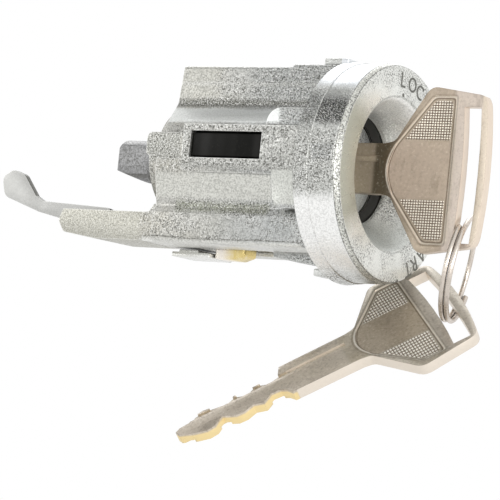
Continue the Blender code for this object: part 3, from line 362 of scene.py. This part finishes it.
def keyMetal(name, look, neck=(0, 0, 0), tilt=(0, 0, 0)):
    # worn nickel over brass: studded grip patches with painted highlight and shade, a smooth band between them,
    # a painted highlight line and painted groove shade round the panel, painted rim highlight on the bow's
    # walls and yellow cut edges
    material, tree, shader, place = startMaterial(name, look["metallic"])
    local = addNode(tree, "ShaderNodeMapping", {"Vector": place, "Location": neck, "Rotation": tilt},
                    vector_type="TEXTURE").outputs[0]
    sides = addNode(tree, "ShaderNodeSeparateXYZ", {"Vector": local})
    along = maths(tree, "DIVIDE", sides.outputs["X"], mm)
    across = maths(tree, "DIVIDE", sides.outputs["Z"], mm)
    wide = maths(tree, "ABSOLUTE", across)
    thickWay = Euler(tilt).to_matrix() @ Vector((0, 1, 0))
    facing = addNode(tree, "ShaderNodeVectorMath", {0: surfaceNormal(tree), 1: thickWay},
                     operation="DOT_PRODUCT")
    wall = ramp(tree, maths(tree, "ABSOLUTE", facing.outputs["Value"]), *look["wallRange"])

    # how far inside the panel on the bow, in mm
    near = maths(tree, "MINIMUM", wide, bowPanel["curveHalf"])
    edgeLine = maths(tree, "MULTIPLY_ADD", times(tree, near, near), bowPanel["curve"], bowPanel["start"])
    edgeLine = maths(tree, "MULTIPLY_ADD", maths(tree, "SUBTRACT", wide, near), bowPanel["slope"], edgeLine)
    depth = times(tree, maths(tree, "SUBTRACT", along, edgeLine), bowPanel["lean"])
    toEnd = maths(tree, "SUBTRACT", bowPanel["end"], along)
    toSide = maths(tree, "SUBTRACT", bowPanel["half"], wide)
    depth = maths(tree, "SMOOTH_MIN", depth, toEnd, bowPanel["endBlend"])
    depth = maths(tree, "SMOOTH_MIN", depth, toSide, bowPanel["sideBlend"])
    panel = ramp(tree, depth, *bowPanel["edge"])
    notPanel = maths(tree, "SUBTRACT", 1.0, panel)
    # painted shade in grooves round the panel, and a painted highlight line along its raised edge
    outerGrooveShade = times(tree, between(tree, depth, *bowPanel["outerGrooveShade"]), bowPanel["outerShare"])
    groove = maths(tree, "MAXIMUM", between(tree, depth, *bowPanel["groove"]), outerGrooveShade)
    panelHighlightLine = between(tree, depth, *bowPanel["panelHighlightLine"])
    patch = times(tree, ramp(tree, wide, *bowPanel["studsFrom"]), ramp(tree, depth, *bowPanel["studsIn"]))
    waves = []
    for value, pitch in ((along, look["ribPitch"]), (across, look["rowPitch"])):
        wave = maths(tree, "SINE", times(tree, value, 2 * math.pi / pitch))
        waves.append(ramp(tree, wave, *bowPanel["stud"]))
    studs = times(tree, *waves)

    cloud = noise(tree, place, look["cloudScale"], detail=4)
    grain = noise(tree, place, look["grainScale"], detail=3, roughness=0.65)
    scratched = addNode(tree, "ShaderNodeMapping", {"Vector": place, "Scale": look["scuffStretch"]}).outputs[0]
    scuff = noise(tree, scratched, look["scuffScale"], detail=4)
    neckShare = times(tree, between(tree, along, keyLength["neck"], keyLength["neckEnd"]), notPanel)
    # painted highlight on the studs' tops and painted shade in the valleys between them
    studLightAndShade = mixColour(tree, studs, look["valleyShade"], look["pale"])
    contour = ramp(tree, occlusion(tree, look["rimReach"], True), *look["rimRange"], 0, look["contour"])
    bow = ramp(tree, along, *keyLength["bow"])
    blade = ramp(tree, along, *keyLength["blade"])
    cuts = ramp(tree, sides.outputs["Y"], *keyLength["cutDepth"])
    colour = mixColour(tree, ramp(tree, cloud, *look["cloudRange"]), look["colour"], look["other"])
    for share, tone in (
        (times(tree, ramp(tree, along, *keyLength["frame"]), notPanel), look["frame"]),
        (ramp(tree, along, *keyLength["outer"]), look["outer"]),
        (times(tree, neckShare, look["neckShare"]), look["neck"]),
        (times(tree, ramp(tree, along, *keyLength["shank"]), keyLength["shankShare"]), look["shank"]),
        (times(tree, ramp(tree, wide, *bowPanel["middle"]), panel, look["middleShare"]), look["middle"]),
        (ramp(tree, scuff, *look["scuffRange"], 0, look["scuffShare"]), look["dark"]),
        (ramp(tree, grain, *look["darkRange"], 0, look["darkShare"]), look["dark"]),
        (ramp(tree, grain, *look["paleRange"], 0, look["paleShare"]), look["pale"]),
        (patch, studLightAndShade),
        (times(tree, panelHighlightLine, bowPanel["panelHighlightShare"]), look["pale"]),
        (times(tree, groove, bowPanel["grooveShare"]), look["dark"]),
        (contour, look["dark"]),
        (times(tree, wall, bow, look["rimHighlightShare"]), look["edge"]),  # painted rim highlight on the walls of the bow
        (times(tree, wall, blade, cuts), look["brass"]),  # bare brass in the cuts of the blade
    ):
        colour = mixColour(tree, share, colour, tone)
    rough = ramp(tree, cloud, *look["roughRange"], look["roughLow"], look["roughHigh"])
    height = maths(tree, "ADD", times(tree, studs, patch), times(tree, grain, look["grainBump"]))
    finishShader(tree, shader, colour, rough, height, look)
    return material


keyLook = {
    "metallic": 0.55, "wallRange": (0.92, 0.5), "rimReach": 0.35 * mm, "rimRange": (0.75, 0.45), "contour": 0.6,
    "cloudScale": 220, "cloudRange": (0.36, 0.64), "grainScale": 2300, "scuffScale": 800,
    "scuffStretch": (1, 1, 0.35), "scuffRange": (0.55, 0.72), "scuffShare": 0.22,
    "darkRange": (0.48, 0.36), "darkShare": 0.14, "paleRange": (0.56, 0.72), "paleShare": 0.3,
    "roughRange": (0.3, 0.7), "roughLow": 0.28, "roughHigh": 0.44,
    "bump": 0.7, "bumpDepth": 0.12 * mm, "grainBump": 0.2,
    "colour": (0.45, 0.37, 0.285), "other": (0.54, 0.45, 0.355),
    "middle": (0.56, 0.455, 0.365), "middleShare": 0.8,
    "frame": (0.67, 0.58, 0.50), "outer": (0.77, 0.67, 0.545), "neck": (0.12, 0.095, 0.055), "neckShare": 0.9,
    "shank": (0.44, 0.365, 0.265), "dark": (0.12, 0.085, 0.055), "pale": (0.95, 0.88, 0.77),
    "valleyShade": (0.20, 0.145, 0.10), "edge": (0.84, 0.72, 0.60), "rimHighlightShare": 0.75,
    "brass": (0.88, 0.70, 0.36), "ribPitch": 0.48, "rowPitch": 0.42,
}
spareLook = dict(
    keyLook, colour=(0.48, 0.43, 0.35), other=(0.58, 0.53, 0.45), middle=(0.46, 0.385, 0.29), middleShare=0.85,
    frame=(0.54, 0.49, 0.42), outer=(0.66, 0.61, 0.53), neck=(0.46, 0.39, 0.28), neckShare=0.5,
    shank=(0.60, 0.53, 0.44), darkShare=0.25, pale=(1.0, 0.96, 0.88), valleyShade=(0.24, 0.19, 0.135),
    edge=(0.82, 0.74, 0.64), rimHighlightShare=0.9, ribPitch=0.5, rowPitch=0.76, contour=0.4,
)
goldLook = {
    "metallic": 0.75, "colour": (0.76, 0.60, 0.24), "other": (0.84, 0.72, 0.40), "worn": (0.92, 0.86, 0.78),
    "streak": (1, 0.3, 0.3), "streakScale": 400, "streakRange": (0.35, 0.65),
    "wear": 0.5, "spotScale": 900, "spotRange": (0.56, 0.7),
    "bareFrom": -31 * mm, "bareTo": -28 * mm,
    "creaseShade": (0.10, 0.075, 0.05), "creaseReach": 0.5 * mm, "creaseRange": (0.75, 0.3), "creaseShare": 0.8,
    "roughRange": (0.3, 0.7), "roughLow": 0.22, "roughHigh": 0.38, "bump": 0.08, "bumpDepth": 0.1 * mm,
}
steelLook = dict(
    goldLook, metallic=0.85, colour=(0.58, 0.52, 0.46), other=(0.76, 0.69, 0.62),
    worn=(0.28, 0.24, 0.20), wear=0.4, bareTo=None,
)
brassLook = dict(
    goldLook, colour=(0.68, 0.48, 0.18), other=(0.76, 0.58, 0.26), worn=(0.42, 0.28, 0.12), bareTo=None,
)
blackLook = {
    "specular": 0.12, "colour": (0.006, 0.006, 0.005), "pale": (0.030, 0.029, 0.027),
    "bandScale": 260, "bandRange": (0.42, 0.66), "highlightBandShare": 0.6,
    "speckScale": 3000, "speckRange": (0.55, 0.75), "speckShare": 0.35,
    "roughRange": (0.3, 0.7), "roughLow": 0.38, "roughHigh": 0.52, "bump": 0.12, "bumpDepth": 0.1 * mm,
}
ringLook = dict(blackLook, specular=0.4, colour=(0.030, 0.030, 0.026), highlightBandShare=0.15)
# the letters and marks are dark: painted shade of letters sunk into the face
letterLook = dict(
    bezelLook, warm=(0.10, 0.10, 0.085), cool=(0.14, 0.14, 0.12),
    far=(0.10, 0.10, 0.085), farther=(0.14, 0.14, 0.12),
    pale=(0.30, 0.30, 0.27), metallic=0.2, darkShare=0.3, paleShare=0.2, cornerShadeShare=0, bands=(),
)

castZinc = castMetal("castZinc", castLook)
bezelZinc = castMetal("bezelZinc", bezelLook)
leverSteel = castMetal("leverSteel", leverLook)
driveMetal = castMetal("driveMetal", driveLook)
plateZinc = castMetal("plateZinc", plateLook)
letterShade = castMetal("letterShadow", letterLook)
sliderPlastic = plasticBlack("sliderPlastic", blackLook)
ringPlastic = plasticBlack("ringPlastic", ringLook)
goldPlate = wireMetal("goldPlate", goldLook)
wireSteel = wireMetal("wireSteel", steelLook)
waferBrass = wireMetal("waferBrass", brassLook)
keyNickel = keyMetal("keyNickel", keyLook)
spareNickel = keyMetal("spareNickel", spareLook, spareNeck, spareTilt)
print("materials made")


# pieces with softened edges, over the CAD nodes of the same outline

softEdge = {
    "weld": 0.003 * mm, "segments": 2,
    "flat": 1.5, "bevelFrom": 40, "smoothBelow": 32,  # in degrees
}


def softened(node, name, body, slot, material, edge):
    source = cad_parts[node]
    selectOnly(source)
    bpy.ops.object.duplicate()
    piece = bpy.context.object
    piece.name = name
    for key in list(piece.keys()):
        if key.startswith("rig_"):
            del piece[key]
    bpy.ops.object.mode_set(mode="EDIT")
    bpy.ops.mesh.select_all(action="SELECT")
    bpy.ops.mesh.remove_doubles(threshold=softEdge["weld"])
    bpy.ops.mesh.dissolve_limited(angle_limit=math.radians(softEdge["flat"]))
    bpy.ops.mesh.mark_sharp(clear=True)
    bpy.ops.object.mode_set(mode="OBJECT")
    bpy.ops.object.modifier_add(type="BEVEL")
    bevel = piece.modifiers[-1]
    bevel.width = edge
    bevel.segments = softEdge["segments"]
    bevel.limit_method = "ANGLE"
    bevel.angle_limit = math.radians(softEdge["bevelFrom"])
    bevel.miter_outer = "MITER_ARC"
    bevel.use_clamp_overlap = True
    bevel.harden_normals = False
    bpy.ops.object.modifier_apply(modifier=bevel.name)
    bpy.ops.object.shade_smooth_by_angle(angle=math.radians(softEdge["smoothBelow"]))
    dress(piece, body, material)
    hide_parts(node)


softPieces = (
    # node, name, body, slot, material, edge radius
    ("lock_case", "caseCasting", "case", "cast_zinc", castZinc, 0.16 * mm),
    ("drive_tail", "driveTail", "plug", "drive_metal", driveMetal, 0.2 * mm),
    ("stop_lever", "stopLever", "lever", "lever_steel", leverSteel, 0.14 * mm),
    ("lock_pawl", "lockPawl", "pawl", "yellow_plating", goldPlate, 0.25 * mm),
    ("bottom_plate", "bottomPlate", "case", "cast_zinc", plateZinc, 0.12 * mm),
    ("reminder_slider", "reminderSlider", "slider", "black_plastic", sliderPlastic, 0.15 * mm),
    ("ignition_key", "ignitionKey", "key", "key_nickel", keyNickel, 0.12 * mm),
    ("spare_key", "spareKey", "spare", "spare_key_nickel", spareNickel, 0.12 * mm),
)
for settings in softPieces:
    softened(*settings)

# the collar and the shoulder behind the window are slimmer than the plain solid
collar = {
    "front": -38.05 * mm, "radius": 8 * mm, "half": 11 * mm,
    "fadeUp": 3 * mm, "slimmer": 0.2, "middle": 0.7 * mm,
}
shoulder = {"front": -37.5 * mm, "low": 3.6 * mm, "high": 8.4 * mm, "face": -8 * mm, "inward": 0.6 * mm}
for vertex in bpy.data.objects["caseCasting"].data.vertices:
    x, y, z = vertex.co
    if x < collar["front"] and math.hypot(y, z) > collar["radius"] and abs(y) < collar["half"]:
        shrink = 1 - collar["slimmer"] * min(max(z / collar["fadeUp"], 0), 1)
        vertex.co.y = y * shrink
        vertex.co.z = collar["middle"] + (z - collar["middle"]) * shrink
    elif x < shoulder["front"] and shoulder["low"] < z < shoulder["high"] and y < shoulder["face"]:
        vertex.co.y = y + shoulder["inward"]

# the bar at the end of each bow is slimmer too
bowFrom = 15.2 * mm
spareTurn = Matrix.LocRotScale(Vector(spareNeck), Euler(spareTilt), None)
for name, turn, slim in (("ignitionKey", Matrix(), 0.65), ("spareKey", spareTurn, 0.85)):
    for vertex in bpy.data.objects[name].data.vertices:
        place = turn.inverted() @ vertex.co
        if place.x > bowFrom:
            place.x = bowFrom + (place.x - bowFrom) * slim
            vertex.co = turn @ place

sliderSize = {"faceFrom": 12 * mm, "out": 0.5 * mm}  # the slider's face stands further out
for vertex in bpy.data.objects["reminderSlider"].data.vertices:
    if vertex.co.y < -sliderSize["faceFrom"]:
        vertex.co.y -= sliderSize["out"]
print("softened pieces made")


# the bezel, extruded ring by ring

bezelSize = {
    "steps": 160,
    "rings": (  # x, radius, centre z, all in mm
        (0, 17.1, -0.7), (-0.06, 17.3, -0.7), (-0.18, 17.42, -0.7), (-0.24, 17.38, -0.7), (-0.3, 17.46, -0.7),
        (-0.92, 17.72, -0.65), (-1.02, 17.77, -0.65), (-1.08, 17.71, -0.65), (-1.18, 17.8, -0.65),
        (-5.1, 17.95, -0.55), (-5.45, 17.95, -0.55), (-5.55, 18.08, -0.55),
        (-7.85, 18.32, -0.6), (-8.0, 18.17, -0.6), (-8.0, 9.6, 0), (-6.9, 9.6, 0), (-6.9, 9.0, 0),
    ),
    "dishSteps": 16, "dishRadius": 12.5, "dishCurve": 0.8, "dishRims": ((-0.1, 0.02), (0, 0.2)),  # x, wider by
    "mouthRadius": 9.0, "mouthX": -6.6, "smoothBelow": 28,
    "flatten": 0.035, "flattenOver": 5 * mm, "lean": 0.35 * mm, "leanOver": 5.5 * mm, "leanFrom": 13.5 * mm,
}


def bezelRings():
    rings = list(bezelSize["rings"])
    steps, lip, drop = bezelSize["dishSteps"], bezelSize["dishRadius"], bezelDrop / mm
    for step in range(steps):
        share = 1 - step / steps
        radius = lip + (bezelSize["mouthRadius"] - lip) * share ** bezelSize["dishCurve"]
        rings.append((bezelSize["mouthX"] * share, radius, -drop * (1 - share)))
    rings += [(x, lip + wider, -drop) for x, wider in bezelSize["dishRims"]]
    return [tuple(value * mm for value in ring) for ring in rings]


def ringStack(name, rings, steps):
    x, radius, middle = rings[0]
    deselectAll()
    bpy.ops.mesh.primitive_circle_add(vertices=steps, radius=radius, location=(x, 0, middle),
                                      rotation=(0, math.pi / 2, 0))
    piece = bpy.context.object
    piece.name = name
    bpy.ops.object.transform_apply(location=True, rotation=True, scale=True)
    bpy.ops.object.mode_set(mode="EDIT")
    bpy.ops.mesh.select_all(action="SELECT")
    for (x0, r0, z0), (x1, r1, z1) in zip(rings, rings[1:]):
        bpy.ops.mesh.extrude_edges_move(TRANSFORM_OT_translate={"value": (x1 - x0, 0, z1 - z0)})
        grow = r1 / r0
        bpy.ops.transform.resize(value=(1, grow, grow), center_override=(x1, 0, z1))
    bpy.ops.mesh.select_all(action="DESELECT")
    bpy.ops.mesh.select_non_manifold()
    bpy.ops.mesh.bridge_edge_loops()
    bpy.ops.mesh.select_all(action="SELECT")
    bpy.ops.mesh.normals_make_consistent(inside=False)
    bpy.ops.object.mode_set(mode="OBJECT")
    bpy.ops.object.shade_smooth_by_angle(angle=math.radians(bezelSize["smoothBelow"]))
    return piece


bezel = ringStack("bezelFace", bezelRings(), bezelSize["steps"])
for vertex in bezel.data.vertices:  # a little flat at the back of its top, its front leaning to the far side
    if vertex.co.z > 0:
        vertex.co.z *= 1 - bezelSize["flatten"] * min(1, -vertex.co.x / bezelSize["flattenOver"])
    if math.hypot(vertex.co.y, vertex.co.z) > bezelSize["leanFrom"]:
        vertex.co.y += bezelSize["lean"] * max(0, 1 + vertex.co.x / bezelSize["leanOver"])
dress(bezel, "case", bezelZinc)
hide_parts("face_bezel")


def rounded(name, edge, segments, smoothBelow):
    # the piece just made, named, with its edges rounded
    piece = bpy.context.object
    piece.name = name
    bpy.ops.object.transform_apply(location=True, rotation=True, scale=True)
    bpy.ops.object.mode_set(mode="EDIT")
    bpy.ops.mesh.select_all(action="SELECT")
    bpy.ops.mesh.bevel(offset=edge, segments=segments)
    bpy.ops.object.mode_set(mode="OBJECT")
    bpy.ops.object.shade_smooth_by_angle(angle=math.radians(smoothBelow))
    return piece


lugSize = {
    "width": 4.0 * mm, "y": -3.0 * mm, "front": -7.7 * mm, "edge": 0.25 * mm, "segments": 3, "smoothBelow": 30,
}


def bezelLug(name, back, low, high):
    deselectAll()
    bpy.ops.mesh.primitive_cube_add(
        size=1, location=((back + lugSize["front"]) / 2, lugSize["y"], (low + high) / 2),
        scale=(lugSize["front"] - back, lugSize["width"], high - low))
    lug = rounded(name, lugSize["edge"], lugSize["segments"], lugSize["smoothBelow"])
    dress(lug, "case", bezelZinc)


bezelLug("bezelTopLug", -12.2 * mm, 16.0 * mm, 17.15 * mm)
bezelLug("bezelLowLug", -10.3 * mm, -18.2 * mm, -17.0 * mm)
print("bezel made")


# letters round the bezel's face

words = {  # letter radius in mm, and each letter's clock angle in degrees, seen from the front
    "LOCK": (15.2, (-0.9, 10.9, 20.8, 31.0)),
    "ACC": (15.3, (52.0, 62.0, 72.0)),
    "ON": (15.3, (92.0, 102.5)),
    "START": (16.0, (117.4, 126.4, 135.8, 145.6, 153.6)),
}
letterSize = {"height": 3.5 * mm, "depth": 0.03 * mm, "weight": 0.01 * mm, "curveSteps": 3}


def faceLetter(name, letter, radius, clock):
    deselectAll()
    bpy.ops.object.text_add()
    piece = bpy.context.object
    piece.name = name
    text = piece.data
    text.body = letter
    text.size = letterSize["height"]
    text.align_x = "CENTER"
    text.align_y = "CENTER"
    text.extrude = letterSize["depth"]
    text.offset = letterSize["weight"]
    text.resolution_u = letterSize["curveSteps"]
    bpy.ops.object.convert(target="MESH")
    angle = math.radians(clock)
    outward = Vector((0, math.sin(angle), math.cos(angle)))
    along = Vector((0, math.cos(angle), -math.sin(angle)))
    turn = Matrix((along, outward, Vector((1, 0, 0)))).transposed().to_4x4()
    turn.translation = outward * radius * mm + Vector((0, 0, -bezelDrop))
    piece.matrix_world = turn
    bpy.ops.object.transform_apply(location=True, rotation=True, scale=True)
    dress(piece, "case", letterShade)


for word, (radius, clocks) in words.items():
    for place, (letter, clock) in enumerate(zip(word, clocks), 1):
        faceLetter(f"word{word.title()}{place}", letter, radius, clock)


markSize = {"corners": 20, "depth": 0.08 * mm, "edge": 0.02 * mm, "segments": 2, "smoothBelow": 40}


def faceMark(name, radius, clock, size):
    deselectAll()
    angle = math.radians(clock)
    bpy.ops.mesh.primitive_cylinder_add(
        vertices=markSize["corners"], radius=size, depth=markSize["depth"], rotation=(0, math.pi / 2, 0),
        location=(0, radius * math.sin(angle), radius * math.cos(angle) - bezelDrop))
    mark = rounded(name, markSize["edge"], markSize["segments"], markSize["smoothBelow"])
    dress(mark, "case", letterShade)


faceMark("indexDot", 12.95 * mm, 1.0, 0.3 * mm)
faceMark("startTick", 17.1 * mm, 166.0, 0.22 * mm)
print("letters made")


# the split ring: two coils side by side and the short slant between them

ringSize = {
    "radius": 8.405 * mm, "centre": (10.629 * mm, 5.11 * mm, -14.901 * mm), "tilt": (-128.813, -76.8, -34.98),
    "wire": 0.42 * mm, "wireSteps": 4, "pitch": 0.88 * mm,
    "start": 32, "crossover": 240, "end": 594, "step": 3, "smoothBelow": 50,  # in degrees
}


def splitRing():
    curve = bpy.data.curves.new("splitRing", "CURVE")
    curve.dimensions = "3D"
    curve.bevel_depth = ringSize["wire"]
    curve.bevel_resolution = ringSize["wireSteps"]
    curve.use_fill_caps = True
    spline = curve.splines.new("POLY")
    degrees = list(range(ringSize["start"], ringSize["end"] + 1, ringSize["step"]))
    spline.points.add(len(degrees) - 1)
    turn = Euler(tuple(math.radians(value) for value in ringSize["tilt"])).to_matrix()
    slant = ringSize["start"] + 360 - ringSize["crossover"]
    for point, degree in zip(spline.points, degrees):
        angle = math.radians(degree)
        share = min(max((degree - ringSize["crossover"]) / slant, 0), 1)
        share = share * share * (3 - 2 * share)
        place = Vector((math.cos(angle), math.sin(angle), 0)) * ringSize["radius"]
        place.z = ringSize["pitch"] * (share - 0.5)
        point.co = (*(turn @ place + Vector(ringSize["centre"])), 1)
    piece = bpy.data.objects.new("splitRing", curve)
    bpy.context.collection.objects.link(piece)
    selectOnly(piece)
    bpy.ops.object.convert(target="MESH")
    bpy.ops.object.shade_smooth_by_angle(angle=math.radians(ringSize["smoothBelow"]))
    return piece


ring = dress(splitRing(), "ring", wireSteel)
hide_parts("split_ring")
print("split ring made")


# CAD nodes that keep their own shape get their finish

ownShape = {
    "keyhole_ring": ringPlastic, "lock_plug": castZinc, "retaining_clip": wireSteel, "slider_spring": wireSteel,
    "lever_pin": wireSteel, **{f"wafer_{number}": waferBrass for number in range(1, 9)},
}
for node, material in ownShape.items():
    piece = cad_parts[node]
    for place in range(max(1, len(piece.material_slots))):
        if piece.material_slots:
            piece.material_slots[place].material = material
        else:
            piece.data.materials.append(material)
print("CAD nodes dressed")


# floor, lights and camera

def seenRays(tree):
    # 1 for what the camera sees, straight or in the metal
    path = addNode(tree, "ShaderNodeLightPath")
    seen = maths(tree, "ADD", path.outputs["Is Camera Ray"], path.outputs["Is Glossy Ray"])
    return maths(tree, "ADD", seen, path.outputs["Is Transmission Ray"], clamp=True)


floorSize = {"height": -0.085, "width": 3.0, "tone": 0.9, "roughness": 0.9}


def paleFloor():
    deselectAll()
    bpy.ops.mesh.primitive_plane_add(size=floorSize["width"], location=(0, 0, floorSize["height"]))
    floor = bpy.context.object
    floor.name = "paleFloor"
    material = bpy.data.materials.new("paleFloor")
    material.use_nodes = True
    tree = material.node_tree
    shader = tree.nodes["Principled BSDF"]
    shader.inputs["Base Color"].default_value = (*[floorSize["tone"]] * 3, 1)
    shader.inputs["Roughness"].default_value = floorSize["roughness"]
    glow = addNode(tree, "ShaderNodeEmission", {"Color": (1, 1, 1, 1), "Strength": 1.0})
    mix = addNode(tree, "ShaderNodeMixShader", {0: seenRays(tree), 1: shader.outputs[0], 2: glow.outputs[0]})
    clear = addNode(tree, "ShaderNodeBsdfTransparent")  # nothing is hidden from below
    under = addNode(tree, "ShaderNodeNewGeometry").outputs["Backfacing"]
    mix = addNode(tree, "ShaderNodeMixShader", {0: under, 1: mix.outputs[0], 2: clear.outputs[0]})
    tree.links.new(mix.outputs[0], tree.nodes["Material Output"].inputs["Surface"])
    floor.data.materials.append(material)


cardSize = {"place": (-0.25, -0.115, 0.42), "width": 0.5, "height": 0.17, "tone": 0.03}


def darkCard():
    # a grey card that only shows as a dark band in the metal
    deselectAll()
    facing = Vector(cardSize["place"]).to_track_quat("Z", "Y").to_euler()
    bpy.ops.mesh.primitive_plane_add(size=1, location=cardSize["place"], rotation=facing)
    card = bpy.context.object
    card.name = "topCard"
    card.scale = (cardSize["width"], cardSize["height"], 1)
    card.visible_camera = False
    card.visible_diffuse = False
    card.visible_shadow = False
    material = bpy.data.materials.new("topCard")
    material.use_nodes = True
    tree = material.node_tree
    glow = addNode(tree, "ShaderNodeEmission", {"Color": (*[cardSize["tone"]] * 3, 1), "Strength": 1.0})
    tree.links.new(glow.outputs[0], tree.nodes["Material Output"].inputs["Surface"])
    card.data.materials.append(material)


paleFloor()
darkCard()

worldLight = {"seen": 1.0, "cast": 0.55}
world = bpy.data.worlds.new("studio")
bpy.context.scene.world = world
world.use_nodes = True
tree = world.node_tree
tree.nodes.clear()
soft = addNode(tree, "ShaderNodeBackground", {"Color": (1, 1, 1, 1), "Strength": worldLight["cast"]})
white = addNode(tree, "ShaderNodeBackground", {"Color": (1, 1, 1, 1), "Strength": worldLight["seen"]})
mix = addNode(tree, "ShaderNodeMixShader", {0: seenRays(tree), 1: soft.outputs[0], 2: white.outputs[0]})
out = addNode(tree, "ShaderNodeOutputWorld")
tree.links.new(mix.outputs[0], out.inputs["Surface"])

lampAim = (-0.01, 0, -0.01)
lamps = {  # place, size, watts
    "topLamp": ((-0.4, 0.42, 0.6), 0.6, 2.4),
    "leftLamp": ((-0.75, -0.45, 0.2), 0.5, 0.9),
    "lowLamp": ((0.35, -0.68, 0.0), 0.15, 1.0),
    "frontLamp": ((0.75, -0.28, 0.06), 0.28, 2.2),
}
for name, (location, size, power) in lamps.items():
    deselectAll()
    bpy.ops.object.light_add(type="AREA", location=location)
    lamp = bpy.context.object
    lamp.name = name
    lamp.data.size = size
    lamp.data.energy = power
    aim = Vector(lampAim) - Vector(location)
    lamp.rotation_euler = aim.to_track_quat("-Z", "Y").to_euler()

view = {
    "place": (0.21762, -0.37694, -0.05162), "turn": (94.8099, -5.915, 32.3702), "angle": 10.447, "near": 0.01,
}
deselectAll()
bpy.ops.object.camera_add(location=view["place"], rotation=tuple(math.radians(turn) for turn in view["turn"]))
camera = bpy.context.object
camera.name = "photoCamera"
camera.data.angle = math.radians(view["angle"])
camera.data.clip_start = view["near"]
bpy.context.scene.camera = camera
bpy.context.scene.view_settings.view_transform = "Standard"
print("stage and camera made")
